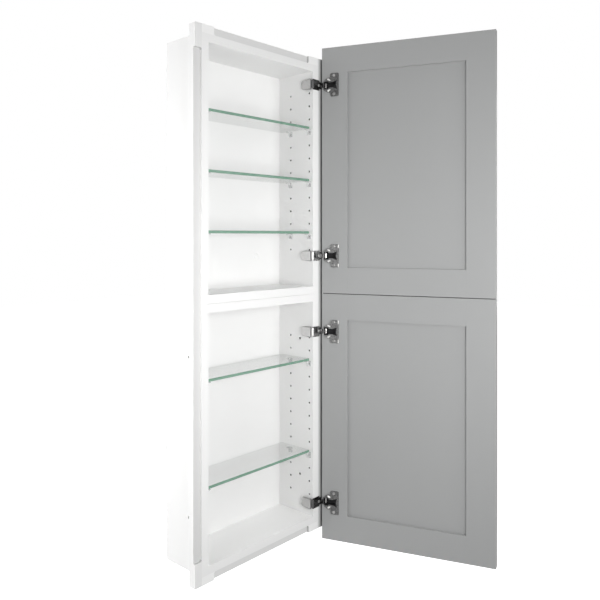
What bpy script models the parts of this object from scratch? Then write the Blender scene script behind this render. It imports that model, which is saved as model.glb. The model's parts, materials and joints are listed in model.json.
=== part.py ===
"""Recessed medicine cabinet: a shallow box set into a wall, with glass shelves and two overlay doors.

Metres, +Z up. The front faces -Y, the wall's surface is the plane y = 0 and the box lies behind it.
The origin is on the back of the lower face strip, midway along it. The doors stand open, as photographed.
"""

import math

import bmesh
import bpy
from mathutils import Matrix, Vector

# Face of the cabinet
FRAME_WIDTH = 0.396
FRAME_HEIGHT = 1.156
STRIP_WIDTH = 0.0175
PROUD = 0.019

# Finger pulls sunk into the face strips
PULL_DEPTH = 0.006
PULL_STOP = 0.050
PULL_RADIUS = 0.004

# Box behind the face
BOARD = 0.0175
RECESS_DEPTH = 0.095
BACK_THICKNESS = 0.006
DIVIDER_BOARD = 0.0187
DADO_DEPTH = 0.005

# Shelf pin holes, 32 mm system
HOLE_DIAMETER = 0.005
HOLE_DEPTH = 0.011
HOLE_PITCH = 0.032
HOLE_END_MARGIN = 0.0515
HOLE_DIVIDER_MARGIN = 0.085
HOLE_COLUMN_FRONT = 0.0115
HOLE_COLUMN_SPACING = 0.0625

# Screw holes that fix the box to the wall studs
STUD_HOLE_DIAMETER = 0.006
STUD_HOLE_MARGIN = 0.094

# Glass shelves
GLASS_THICKNESS = 0.006
GLASS_SETBACK = 0.009
GLASS_REAR_GAP = 0.010
GLASS_SIDE_GAP = 0.0015
GLASS_CORNER = 0.003
# How far down its compartment's pin holes each shelf stands, as a share of the column
SHELF_SHARES = {"upper": (0.25, 0.58, 0.92), "lower": (0.17, 0.75)}

# Shelf pins: a peg, a plate on the wall, a ledge under the glass and a gusset
PEG_LENGTH = 0.009
PIN_WIDTH = 0.011
PIN_PLATE = 0.002
PIN_DROP = 0.006
PIN_RISE = 0.0072
LEDGE_LENGTH = 0.011
LEDGE_THICKNESS = 0.002
GUSSET_THICKNESS = 0.0025

# Doors
DOOR_OVERHANG_SIDE = 0.010
DOOR_OVERHANG_END = 0.026
DOOR_SPLIT = 0.0018
DOOR_THICKNESS = 0.019
DOOR_STILE = 0.066
DOOR_RAIL = 0.0635
PANEL_THICKNESS = 0.008
GROOVE_DEPTH = 0.009
OPEN_ANGLE = math.radians(110.0)

# Hinges
HINGE_INSET = 0.092
CUP_DIAMETER = 0.035
CUP_BORE_DEPTH = 0.0125
CUP_EDGE = 0.0025
CUP_WALL = 0.0011
CUP_FLOOR = 0.001
CUP_PLATE = 0.001
CUP_PLATE_HEIGHT = 0.057
CUP_PLATE_WIDTH = 0.0216
CUP_PLATE_CORNER = 0.004
CUP_PLATE_OFFSET = -0.0018
CUP_RIM = 0.001
# The pocket's half heights, and its bends as shares of its radius from the cup's centre to the pivot
POCKET_END_HALF = 0.0096
POCKET_WAIST_HALF = 0.0064
POCKET_TAIL_HALF = 0.0108
POCKET_TAIL_REACH = 0.0195
POCKET_TAIL_NOTCH = 0.0026
POCKET_TAIL_DEPTH = 0.0006
POCKET_SHOULDER = 0.24
POCKET_WAIST_START = 0.12
POCKET_WAIST_END = -0.42
# The pivot pin's place, from the door's edge and inner face, and the arm that turns on it
PIVOT_EDGE = 0.0078
PIVOT_DEPTH = 0.007
PIVOT_PIN_DIAMETER = 0.0026
EYE_WALL = 0.00105
EYE_LENGTH = 0.0108
ARM_SHEET = 0.0014
ARM_BEND = 0.0012
ARM_PLATE_HEIGHT = 0.025
ARM_LEG_HEIGHT = 0.018
ARM_LEG_LENGTH = 0.026
ARM_NECK_WIDTH = 0.0106
ARM_NECK_REACH = 0.0112
ARM_TAPER = 0.0025
ARM_CROWN = 0.0022
ARM_SHOULDER_HEIGHT = 0.017
BASE_LENGTH = 0.030
BASE_HEIGHT = 0.026
BASE_TAIL_HEIGHT = 0.022
BASE_THICKNESS = 0.0055
BASE_EDGE = 0.002

# Clearances: in glued joints, between pieces that rest on each other, and where one runs past another
GLUE_LINE = 0.00005
CLEAR = 0.0003
RUN_GAP = 0.0004
PIVOT_CLEAR = 0.00025

# Roundness of cylinders and arcs, and the bends that count as sharp edges
HOLE_SIDES = 10
CUP_SIDES = 36
PIVOT_SIDES = 16
ARC_STEPS = 4
SHARP_ANGLE = math.radians(30.0)

# Places that follow from the sizes above
HALF_WIDTH = FRAME_WIDTH / 2
BOX_HALF = HALF_WIDTH - STRIP_WIDTH
INNER_HALF = BOX_HALF - BOARD
FRONT_Y = -PROUD
REAR_Y = RECESS_DEPTH
FRAME_BOTTOM = -STRIP_WIDTH / 2
FRAME_TOP = FRAME_BOTTOM + FRAME_HEIGHT
MIDDLE_Z = (FRAME_BOTTOM + FRAME_TOP) / 2
BOX_BOTTOM = FRAME_BOTTOM + STRIP_WIDTH
BOX_TOP = FRAME_TOP - STRIP_WIDTH
INNER_BOTTOM = BOX_BOTTOM + BOARD
INNER_TOP = BOX_TOP - BOARD
DIVIDER_BOTTOM = MIDDLE_Z - DIVIDER_BOARD
DIVIDER_TOP = MIDDLE_Z + DIVIDER_BOARD
DOOR_EDGE = HALF_WIDTH + DOOR_OVERHANG_SIDE
DOOR_GAP = CLEAR + ARM_SHEET + RUN_GAP + CUP_PLATE + CLEAR
DOOR_INNER_Y = FRONT_Y - DOOR_GAP
DOOR_OUTER_Y = DOOR_INNER_Y - DOOR_THICKNESS
PIVOT_X = DOOR_EDGE - PIVOT_EDGE
PIVOT_Y = DOOR_INNER_Y - PIVOT_DEPTH
CUP_X = DOOR_EDGE - CUP_EDGE - CUP_DIAMETER / 2
GLASS_SEAT = PIN_RISE + CLEAR

COLOURS = {
    "white_paint": ((0.86, 0.86, 0.85, 1.0), 0.42, 0.0),
    "grey_paint": ((0.36, 0.37, 0.37, 1.0), 0.46, 0.0),
    "glass": ((0.55, 0.75, 0.66, 0.35), 0.04, 0.0),
    "clear_plastic": ((0.90, 0.92, 0.92, 0.6), 0.18, 0.0),
    "nickel": ((0.72, 0.72, 0.71, 1.0), 0.24, 1.0),
}


def remove_everything():
    """Empties the scene before modelling."""
    for old in list(bpy.data.objects):
        bpy.data.objects.remove(old, do_unlink=True)


def make_materials():
    """Returns one Principled material per finish."""
    made = {}
    for name, (colour, roughness, metallic) in COLOURS.items():
        material = bpy.data.materials.new(name)
        material.use_nodes = True
        shader = material.node_tree.nodes["Principled BSDF"]
        shader.inputs["Base Color"].default_value = colour
        shader.inputs["Roughness"].default_value = roughness
        shader.inputs["Metallic"].default_value = metallic
        shader.inputs["Alpha"].default_value = colour[3]
        made[name] = material
    return made


def fillet(corners):
    """Returns an outline of (u, v) points from corners (u, v, radius), each round corner as an arc."""
    outline = []
    for index, (u, v, radius) in enumerate(corners):
        here = Vector((u, v))
        if radius <= 0.0:
            outline.append(here)
            continue
        before = Vector(corners[index - 1][:2]) - here
        after = Vector(corners[(index + 1) % len(corners)][:2]) - here
        half = before.angle(after) / 2
        centre = here + (before.normalized() + after.normalized()).normalized() * radius / math.sin(half)
        start = here + before.normalized() * radius / math.tan(half) - centre
        end = here + after.normalized() * radius / math.tan(half) - centre
        turn = start.angle_signed(end)
        for step in range(ARC_STEPS + 1):
            outline.append(centre + Matrix.Rotation(-turn * step / ARC_STEPS, 2) @ start)
    return outline


def rectangle(u_low, u_high, v_low, v_high, radius=0.0):
    """Returns a rectangle's outline, with round corners if a radius is given."""
    corners = [(u_low, v_low), (u_high, v_low), (u_high, v_high), (u_low, v_high)]
    return fillet([(u, v, radius) for u, v in corners])


def prism(outline, axis, low, high):
    """Returns a closed bmesh: an outline pushed along X, Y or Z from low to high."""
    place = {
        "X": lambda u, v, w: (w, u, v),
        "Y": lambda u, v, w: (u, w, v),
        "Z": lambda u, v, w: (u, v, w),
    }[axis]
    shape = bmesh.new()
    base = shape.faces.new([shape.verts.new(place(u, v, low)) for u, v in outline])
    pushed = bmesh.ops.extrude_face_region(shape, geom=[base])["geom"]
    moved = [item for item in pushed if isinstance(item, bmesh.types.BMVert)]
    bmesh.ops.translate(shape, vec=Vector(place(0.0, 0.0, high - low)), verts=moved)
    bmesh.ops.recalc_face_normals(shape, faces=shape.faces)
    return shape


def block(x_low, x_high, y_low, y_high, z_low, z_high):
    """Returns a closed bmesh box between two corners."""
    return prism(rectangle(x_low, x_high, y_low, y_high), "Z", z_low, z_high)


def cylinder(centre, axis, radius, length, sides):
    """Returns a closed bmesh cylinder about its centre, along X, Y or Z."""
    turn = {
        "X": Matrix.Rotation(math.pi / 2, 4, "Y"),
        "Y": Matrix.Rotation(math.pi / 2, 4, "X"),
        "Z": Matrix.Identity(4),
    }[axis]
    shape = bmesh.new()
    bmesh.ops.create_cone(
        shape, cap_ends=True, segments=sides, radius1=radius, radius2=radius, depth=length,
        matrix=Matrix.Translation(centre) @ turn,
    )
    bmesh.ops.recalc_face_normals(shape, faces=shape.faces)
    return shape


def merged(shapes):
    """Returns one bmesh that holds several separate shapes."""
    whole = bmesh.new()
    for shape in shapes:
        copy = bpy.data.meshes.new("copy")
        shape.to_mesh(copy)
        shape.free()
        whole.from_mesh(copy)
        bpy.data.meshes.remove(copy)
    return whole


class Model:
    """Adds the cabinet's objects to the scene and holds their finishes and pivots."""

    def __init__(self):
        self.finishes = make_materials()
        self.scene = bpy.context.scene.collection

    def pivot(self, name, place, turn):
        """Returns an empty on a joint's axis, turned about Z."""
        empty = bpy.data.objects.new(name, None)
        empty.location = place
        empty.rotation_euler = (0.0, 0.0, turn)
        self.scene.objects.link(empty)
        return empty

    def piece(self, name, shape, finish, parent=None):
        """Returns a new object from a bmesh, drawn with the doors closed, hung on a pivot if it has one."""
        mesh = bpy.data.meshes.new(name)
        shape.to_mesh(mesh)
        shape.free()
        made = bpy.data.objects.new(name, mesh)
        self.scene.objects.link(made)
        if parent:
            mesh.transform(Matrix.Translation(-Vector(parent.location)))
            made.parent = parent
        if finish:
            mesh.materials.append(self.finishes[finish])
        mesh.shade_smooth()
        mesh.set_sharp_from_angle(angle=SHARP_ANGLE)
        return made

    def combine(self, made, shape, operation):
        """Cuts a bmesh from an object, or joins one to it, with a Boolean."""
        name = f"{made.name}_{operation.lower()}_{len(made.modifiers)}"
        tool = self.piece(name, shape, None, made.parent)
        tool.hide_render = True
        tool.display_type = "WIRE"
        step = made.modifiers.new(operation.title(), "BOOLEAN")
        step.operation = operation
        step.object = tool

    def cut(self, made, shape):
        """Cuts a bmesh from an object."""
        self.combine(made, shape, "DIFFERENCE")

    def join(self, made, shape):
        """Joins a bmesh to an object as one body."""
        self.combine(made, shape, "UNION")

    def soften(self, made, width):
        """Rounds an object's sharp edges."""
        step = made.modifiers.new("Edges", "BEVEL")
        step.width = width
        step.segments = 2
        step.limit_method = "ANGLE"
        step.angle_limit = SHARP_ANGLE


def compartments():
    """Returns each compartment's pin hole heights, from the top down."""
    upper_span = INNER_TOP - DIVIDER_TOP - HOLE_END_MARGIN - HOLE_DIVIDER_MARGIN
    lower_span = DIVIDER_BOTTOM - INNER_BOTTOM - HOLE_END_MARGIN - HOLE_DIVIDER_MARGIN
    highest, lowest = INNER_TOP - HOLE_END_MARGIN, INNER_BOTTOM + HOLE_END_MARGIN
    upper = [highest - HOLE_PITCH * n for n in range(int(upper_span / HOLE_PITCH) + 1)]
    lower = [lowest + HOLE_PITCH * n for n in range(int(lower_span / HOLE_PITCH) + 1)]
    return {"upper": upper, "lower": lower[::-1]}


def hole_columns():
    """Returns the front and rear pin hole columns' Y."""
    front = FRONT_Y + HOLE_COLUMN_FRONT
    return {"front": front, "rear": front + HOLE_COLUMN_SPACING}


def shelf_places():
    """Returns each glass shelf's name and the height of the pin holes that carry it."""
    places = {}
    for compartment, heights in compartments().items():
        for number, share in enumerate(SHELF_SHARES[compartment], start=1):
            places[f"shelf_{compartment}_{number}"] = heights[round(share * (len(heights) - 1))]
    return places


def door_spans():
    """Returns each door's lower and upper edge."""
    half_split = DOOR_SPLIT / 2
    return {
        "upper_door": (MIDDLE_Z + half_split, FRAME_TOP + DOOR_OVERHANG_END),
        "lower_door": (FRAME_BOTTOM - DOOR_OVERHANG_END, MIDDLE_Z - half_split),
    }


def hinge_heights(door):
    """Returns the heights of a door's two hinges, upper first."""
    low, high = door_spans()[door]
    return high - HINGE_INSET, low + HINGE_INSET


def add_side(model, side):
    """Adds a side board with its dado, pin holes and stud screw holes, on the left (-1) or the right (1)."""
    name = "side_left" if side < 0 else "side_right"
    inner, outer = side * INNER_HALF, side * BOX_HALF
    board = model.piece(
        name,
        block(min(inner, outer), max(inner, outer), FRONT_Y, REAR_Y, BOX_BOTTOM, BOX_TOP),
        "white_paint",
    )
    dado_floor = inner + side * DADO_DEPTH
    dado_mouth = inner - side * DADO_DEPTH
    model.cut(board, block(
        min(dado_floor, dado_mouth), max(dado_floor, dado_mouth), FRONT_Y - CLEAR, REAR_Y + CLEAR,
        DIVIDER_BOTTOM - GLUE_LINE, DIVIDER_TOP + GLUE_LINE,
    ))
    drills = [
        cylinder((inner, y, z), "X", HOLE_DIAMETER / 2, 2 * HOLE_DEPTH, HOLE_SIDES)
        for y in hole_columns().values()
        for heights in compartments().values()
        for z in heights
    ]
    model.cut(board, merged(drills))
    stud_y = sum(hole_columns().values()) / 2
    studs = [
        cylinder(((inner + outer) / 2, stud_y, z), "X", STUD_HOLE_DIAMETER / 2, 2 * BOARD, HOLE_SIDES)
        for z in (DIVIDER_BOTTOM - STUD_HOLE_MARGIN, INNER_BOTTOM + STUD_HOLE_MARGIN)
    ]
    model.cut(board, merged(studs))


def add_box(model):
    """Adds the two sides, the top, the bottom, the divider's two boards and the back."""
    for side in (-1, 1):
        add_side(model, side)
    between = INNER_HALF - GLUE_LINE
    for name, low in (("box_top", INNER_TOP), ("box_bottom", BOX_BOTTOM)):
        model.piece(name, block(-between, between, FRONT_Y, REAR_Y, low, low + BOARD), "white_paint")
    reach = INNER_HALF + DADO_DEPTH - GLUE_LINE
    half_joint = CLEAR / 2
    for name, low, high in (
        ("divider_upper", MIDDLE_Z + half_joint, DIVIDER_TOP),
        ("divider_lower", DIVIDER_BOTTOM, MIDDLE_Z - half_joint),
    ):
        model.piece(name, block(-reach, reach, FRONT_Y, REAR_Y, low, high), "white_paint")
    back_y = REAR_Y + GLUE_LINE
    model.piece(
        "back_panel",
        block(-BOX_HALF, BOX_HALF, back_y, back_y + BACK_THICKNESS, BOX_BOTTOM, BOX_TOP),
        "white_paint",
    )


def add_face_strips(model):
    """Adds the four strips round the box's mouth, with stopped finger pulls on all but the hinge side."""
    top_low, bottom_high = BOX_TOP + GLUE_LINE, BOX_BOTTOM - GLUE_LINE
    spans = {
        "face_left": (-HALF_WIDTH, -BOX_HALF - GLUE_LINE, FRAME_BOTTOM, FRAME_TOP),
        "face_right": (BOX_HALF + GLUE_LINE, HALF_WIDTH, FRAME_BOTTOM, FRAME_TOP),
        "face_top": (-BOX_HALF, BOX_HALF, top_low, FRAME_TOP),
        "face_bottom": (-BOX_HALF, BOX_HALF, FRAME_BOTTOM, bottom_high),
    }
    along_z = (FRAME_BOTTOM + PULL_STOP, FRAME_TOP - PULL_STOP)
    along_x = (-HALF_WIDTH + PULL_STOP, HALF_WIDTH - PULL_STOP)
    past = 2 * PULL_RADIUS
    pulls = {
        "face_left": (-HALF_WIDTH - past, -BOX_HALF, *along_z),
        "face_top": (*along_x, BOX_TOP, FRAME_TOP + past),
        "face_bottom": (*along_x, FRAME_BOTTOM - past, BOX_BOTTOM),
    }
    for name, (x_low, x_high, z_low, z_high) in spans.items():
        strip = model.piece(name, block(x_low, x_high, FRONT_Y, 0.0, z_low, z_high), "white_paint")
        if name in pulls:
            outline = rectangle(*pulls[name], PULL_RADIUS)
            model.cut(strip, prism(outline, "Y", FRONT_Y - PULL_DEPTH, FRONT_Y + PULL_DEPTH))


def pin_shape():
    """Returns a shelf pin's outline pieces about its hole's mouth, pointing along +X into the cabinet."""
    half = PIN_WIDTH / 2
    bracket = [
        (CLEAR, -PIN_DROP),
        (CLEAR + PIN_PLATE, -PIN_DROP),
        (CLEAR + PIN_PLATE, PIN_RISE - LEDGE_THICKNESS),
        (CLEAR + LEDGE_LENGTH, PIN_RISE - LEDGE_THICKNESS),
        (CLEAR + LEDGE_LENGTH, PIN_RISE),
        (CLEAR, PIN_RISE),
    ]
    plate_middle = CLEAR + PIN_PLATE / 2
    ledge_middle = PIN_RISE - LEDGE_THICKNESS / 2
    gusset = [
        (plate_middle, -PIN_DROP + PIN_PLATE),
        (CLEAR + LEDGE_LENGTH - PIN_PLATE, ledge_middle),
        (plate_middle, ledge_middle),
    ]
    peg_span = PEG_LENGTH + plate_middle
    return {
        "bracket": prism(bracket, "Y", -half, half),
        "gusset": prism(gusset, "Y", -GUSSET_THICKNESS / 2, GUSSET_THICKNESS / 2),
        "peg": cylinder(
            (plate_middle - peg_span / 2, 0.0, 0.0), "X", HOLE_DIAMETER / 2 - CLEAR, peg_span, HOLE_SIDES
        ),
    }


def baked(made):
    """Returns an object's mesh with its modifiers applied, and removes the object and its tools."""
    bpy.context.view_layer.update()
    mesh = bpy.data.meshes.new_from_object(made.evaluated_get(bpy.context.evaluated_depsgraph_get()))
    for tool in [step.object for step in made.modifiers]:
        bpy.data.objects.remove(tool, do_unlink=True)
    bpy.data.objects.remove(made, do_unlink=True)
    return mesh


def add_shelves(model):
    """Adds each glass shelf and the four pins under it."""
    parts = pin_shape()
    template = model.piece("pin_template", parts["bracket"], "clear_plastic")
    model.join(template, parts["gusset"])
    model.join(template, parts["peg"])
    pin_mesh = baked(template)
    half = INNER_HALF - GLASS_SIDE_GAP
    front = FRONT_Y + GLASS_SETBACK
    outline = rectangle(-half, half, front, REAR_Y - GLASS_REAR_GAP, GLASS_CORNER)
    for name, height in shelf_places().items():
        seat = height + GLASS_SEAT
        model.piece(name, prism(outline, "Z", seat, seat + GLASS_THICKNESS), "glass")
        for column, y in hole_columns().items():
            for side, x, turn in (("left", -INNER_HALF, 0.0), ("right", INNER_HALF, math.pi)):
                pin = bpy.data.objects.new(f"{name}_pin_{column}_{side}", pin_mesh)
                pin.location = (x, y, height)
                pin.rotation_euler = (0.0, 0.0, turn)
                model.scene.objects.link(pin)


def stile_outline(outer_x, inner_x):
    """Returns a door stile's cross-section with the panel groove in its inner edge."""
    middle_y = (DOOR_INNER_Y + DOOR_OUTER_Y) / 2
    half_groove = PANEL_THICKNESS / 2 + CLEAR
    groove_x = inner_x + math.copysign(GROOVE_DEPTH, outer_x - inner_x)
    return [
        (outer_x, DOOR_OUTER_Y),
        (inner_x, DOOR_OUTER_Y),
        (inner_x, middle_y - half_groove),
        (groove_x, middle_y - half_groove),
        (groove_x, middle_y + half_groove),
        (inner_x, middle_y + half_groove),
        (inner_x, DOOR_INNER_Y),
        (outer_x, DOOR_INNER_Y),
    ]


def add_rail(model, name, outer_z, inner_z, parent):
    """Adds a door rail: grooved for the panel, with a stub tenon at each end in the stiles' grooves."""
    middle_y = (DOOR_INNER_Y + DOOR_OUTER_Y) / 2
    half_groove = PANEL_THICKNESS / 2 + CLEAR
    groove_z = inner_z + math.copysign(GROOVE_DEPTH, outer_z - inner_z)
    profile = [
        (DOOR_OUTER_Y, outer_z),
        (DOOR_OUTER_Y, inner_z),
        (middle_y - half_groove, inner_z),
        (middle_y - half_groove, groove_z),
        (middle_y + half_groove, groove_z),
        (middle_y + half_groove, inner_z),
        (DOOR_INNER_Y, inner_z),
        (DOOR_INNER_Y, outer_z),
    ]
    shoulder = DOOR_EDGE - DOOR_STILE - GLUE_LINE
    rail = model.piece(name, prism(profile, "X", -shoulder, shoulder), "grey_paint", parent)
    tenon = shoulder + GROOVE_DEPTH - CLEAR
    half_tenon = PANEL_THICKNESS / 2
    inset = math.copysign(CLEAR, groove_z - outer_z)
    low, high = sorted((outer_z + inset, groove_z - inset))
    model.join(rail, block(-tenon, tenon, middle_y - half_tenon, middle_y + half_tenon, low, high))


def add_door(model, name):
    """Adds a door's two stiles, two rails and panel, hung on its pivot, with bores for its hinge cups."""
    low, high = door_spans()[name]
    pivot = model.pivot(f"{name}_pivot", (PIVOT_X, PIVOT_Y, (low + high) / 2), OPEN_ANGLE)
    inner = DOOR_EDGE - DOOR_STILE
    hinge_stile = model.piece(
        f"{name}_stile_hinge", prism(stile_outline(DOOR_EDGE, inner), "Z", low, high), "grey_paint", pivot
    )
    bores = [
        cylinder((CUP_X, DOOR_INNER_Y, z), "Y", CUP_DIAMETER / 2, 2 * CUP_BORE_DEPTH, CUP_SIDES)
        for z in hinge_heights(name)
    ]
    model.cut(hinge_stile, merged(bores))
    model.piece(
        f"{name}_stile_free", prism(stile_outline(-DOOR_EDGE, -inner), "Z", low, high), "grey_paint", pivot
    )
    add_rail(model, f"{name}_rail_top", high, high - DOOR_RAIL, pivot)
    add_rail(model, f"{name}_rail_bottom", low, low + DOOR_RAIL, pivot)
    middle_y = (DOOR_INNER_Y + DOOR_OUTER_Y) / 2
    tongue = GROOVE_DEPTH - CLEAR
    model.piece(
        f"{name}_panel",
        block(
            -inner - tongue, inner + tongue,
            middle_y - PANEL_THICKNESS / 2, middle_y + PANEL_THICKNESS / 2,
            low + DOOR_RAIL - tongue, high - DOOR_RAIL + tongue,
        ),
        "grey_paint",
        pivot,
    )
    return pivot


def pocket_radius():
    """Returns the radius of a hinge cup's hollow."""
    return CUP_DIAMETER / 2 - CLEAR - CUP_WALL


def pocket_outline(height):
    """Returns the outline of a hinge cup's pocket: a round nose at the pivot and a narrower waist."""
    radius = pocket_radius()
    nose = math.asin(POCKET_END_HALF / radius)
    steps = 2 * ARC_STEPS
    outline = []
    for step in range(steps + 1):
        angle = nose * (2 * step / steps - 1)
        outline.append((radius * math.cos(angle), radius * math.sin(angle)))
    upper_side = [
        (radius * POCKET_SHOULDER, POCKET_END_HALF),
        (radius * POCKET_WAIST_START, POCKET_WAIST_HALF),
        (-math.sqrt(radius ** 2 - POCKET_WAIST_HALF ** 2), POCKET_WAIST_HALF),
    ]
    outline += [*upper_side, *[(u, -v) for u, v in reversed(upper_side)]]
    return [(CUP_X + u, height + v) for u, v in outline]


def tail_outline(height):
    """Returns the outline of the shallow fishtail sunk into a hinge cup's plate, at the pocket's end."""
    start = pocket_radius() * POCKET_WAIST_END
    half = POCKET_WAIST_HALF - CLEAR
    outline = [
        (start, -half),
        (start, half),
        (-POCKET_TAIL_REACH, POCKET_TAIL_HALF),
        (-POCKET_TAIL_REACH + POCKET_TAIL_NOTCH, 0.0),
        (-POCKET_TAIL_REACH, -POCKET_TAIL_HALF),
    ]
    return [(CUP_X + u, height + v) for u, v in outline]


def add_cup(model, name, height, pivot):
    """Adds a hinge's door half: the sunk cup with its pocket, the screw plate and the pivot pin."""
    plate_y = DOOR_INNER_Y + CLEAR
    cup_bottom = DOOR_INNER_Y - CUP_BORE_DEPTH + CLEAR
    middle = plate_y + CUP_PLATE / 2
    radius = CUP_DIAMETER / 2 - CLEAR
    cup = model.piece(
        name,
        cylinder((CUP_X, (middle + cup_bottom) / 2, height), "Y", radius, middle - cup_bottom, CUP_SIDES),
        "nickel",
        pivot,
    )
    rim = CUP_DIAMETER / 2 + CUP_RIM
    model.join(cup, cylinder((CUP_X, middle, height), "Y", rim, CUP_PLATE - CLEAR, CUP_SIDES))
    half = CUP_PLATE_HEIGHT / 2
    wing_edge = CUP_X + CUP_PLATE_OFFSET
    wing = rectangle(wing_edge - CUP_PLATE_WIDTH, wing_edge, height - half, height + half, CUP_PLATE_CORNER)
    model.join(cup, prism(wing, "Y", plate_y, plate_y + CUP_PLATE))
    pocket_floor = cup_bottom + CUP_FLOOR
    model.cut(cup, prism(pocket_outline(height), "Y", pocket_floor, plate_y + 2 * CUP_PLATE))
    tail_floor = plate_y + CUP_PLATE - POCKET_TAIL_DEPTH
    model.cut(cup, prism(tail_outline(height), "Y", tail_floor, plate_y + 2 * CUP_PLATE))
    pin_reach = PIVOT_X - CUP_X + PIVOT_PIN_DIAMETER / 2
    cup_half = math.sqrt(radius ** 2 - pin_reach ** 2)
    pin_length = POCKET_END_HALF + cup_half
    model.join(
        cup,
        cylinder((PIVOT_X, PIVOT_Y, height), "Z", PIVOT_PIN_DIAMETER / 2, pin_length, PIVOT_SIDES),
    )


def arm_path():
    """Returns the hinge arm's bent centre line as (x, y) points: leg, wrap, front plate, neck and eye."""
    sheet = CLEAR + ARM_SHEET / 2
    leg_x = INNER_HALF - sheet
    plate_y = FRONT_Y - sheet
    neck_x = PIVOT_X - ARM_NECK_REACH
    eye_x = PIVOT_X - PIVOT_PIN_DIAMETER / 2 - PIVOT_CLEAR - EYE_WALL / 2
    corners = [
        (leg_x, FRONT_Y + ARM_LEG_LENGTH, 0.0),
        (leg_x, plate_y, ARM_BEND),
        (neck_x - ARM_BEND - ARM_TAPER, plate_y, 0.0),
        (neck_x, plate_y, ARM_BEND),
        (neck_x, PIVOT_Y - ARM_CROWN, ARM_BEND),
        (eye_x, PIVOT_Y, 0.0),
    ]
    return fillet(corners)


def arm_half_width(place):
    """Returns the arm's half width at a point of its path: wide on the face, narrow at the neck."""
    if place.y > FRONT_Y:
        return ARM_LEG_HEIGHT / 2
    taper_end = PIVOT_X - ARM_NECK_REACH - ARM_BEND
    share = min(max((place.x - taper_end) / ARM_TAPER + 1.0, 0.0), 1.0)
    return (ARM_PLATE_HEIGHT * (1.0 - share) + ARM_NECK_WIDTH * share) / 2


def arm_shape(height):
    """Returns the arm as a strip of sheet metal swept along its path."""
    path = arm_path()
    strip = bmesh.new()
    rings = []
    for index, place in enumerate(path):
        before = path[max(index - 1, 0)]
        after = path[min(index + 1, len(path) - 1)]
        along = (after - before).normalized()
        across = Vector((-along.y, along.x)) * ARM_SHEET / 2
        half = arm_half_width(place)
        ring = []
        for offset, rise in ((across, -half), (across, half), (-across, half), (-across, -half)):
            spot = place + offset
            ring.append(strip.verts.new((spot.x, spot.y, height + rise)))
        rings.append(ring)
    for first, second in zip(rings, rings[1:]):
        for corner in range(4):
            nearby = (corner + 1) % 4
            strip.faces.new((first[corner], first[nearby], second[nearby], second[corner]))
    strip.faces.new(rings[0])
    strip.faces.new(rings[-1])
    bmesh.ops.recalc_face_normals(strip, faces=strip.faces)
    return strip


def arm_shoulders(height):
    """Returns the flat on both sides of the arm's neck, which ends where the door's corner swings past."""
    rear = FRONT_Y - CLEAR - GLUE_LINE
    front = FRONT_Y - CLEAR - ARM_SHEET + GLUE_LINE
    swing = math.hypot(PIVOT_EDGE, PIVOT_DEPTH) + RUN_GAP
    rise = front - PIVOT_Y
    end = PIVOT_X - math.sqrt(max(swing ** 2 - rise ** 2, 0.0))
    start = PIVOT_X - ARM_NECK_REACH - ARM_BEND - ARM_TAPER - ARM_SHEET
    half = ARM_SHOULDER_HEIGHT / 2
    return block(start, end, front, rear, height - half, height + half)


def add_arm(model, name, height):
    """Adds a hinge's arm: wrapped round the side board's front edge, with an eye on the pivot pin."""
    arm = model.piece(name, arm_shape(height), "nickel")
    model.join(arm, arm_shoulders(height))
    bore = PIVOT_PIN_DIAMETER / 2 + PIVOT_CLEAR
    centre = (PIVOT_X, PIVOT_Y, height)
    model.join(arm, cylinder(centre, "Z", bore + EYE_WALL, EYE_LENGTH, PIVOT_SIDES))
    model.cut(arm, cylinder(centre, "Z", bore, 2 * EYE_LENGTH, PIVOT_SIDES))


def add_base(model, name, height):
    """Adds a hinge's base: a cast cover over the arm's leg on the side board's inner face."""
    outer = INNER_HALF - 2 * CLEAR - ARM_SHEET
    front = FRONT_Y + BASE_EDGE
    rear = front + BASE_LENGTH
    half, tail = BASE_HEIGHT / 2, BASE_TAIL_HEIGHT / 2
    corners = [
        (front, height - half, BASE_EDGE),
        (rear, height - tail, tail / 2),
        (rear, height + tail, tail / 2),
        (front, height + half, BASE_EDGE),
    ]
    base = model.piece(name, prism(fillet(corners), "X", outer - BASE_THICKNESS, outer), "nickel")
    model.soften(base, BASE_EDGE / 2)


def add_hinges(model, pivots):
    """Adds every hinge's base and arm on the cabinet and its cup on the door, from the top down."""
    number = 0
    for door, pivot in pivots.items():
        for height in hinge_heights(door):
            number += 1
            add_base(model, f"hinge_{number}_base", height)
            add_arm(model, f"hinge_{number}_arm", height)
            add_cup(model, f"hinge_{number}_cup", height, pivot)


def main():
    remove_everything()
    model = Model()
    add_box(model)
    add_face_strips(model)
    add_shelves(model)
    pivots = {name: add_door(model, name) for name in door_spans()}
    add_hinges(model, pivots)


main()
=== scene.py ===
"""Looks for the recessed medicine cabinet: paint, glass, plated hinges, screws, light and camera.

Metres, in the CAD model's frame: the front faces -Y, the wall's surface is y = 0 and +Z is up.
"""

from __future__ import annotations

import json
import logging
import math
from dataclasses import dataclass, replace
from enum import Enum
from typing import Any, Callable, Sequence

import bmesh
import bpy
from mathutils import Matrix, Vector

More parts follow.
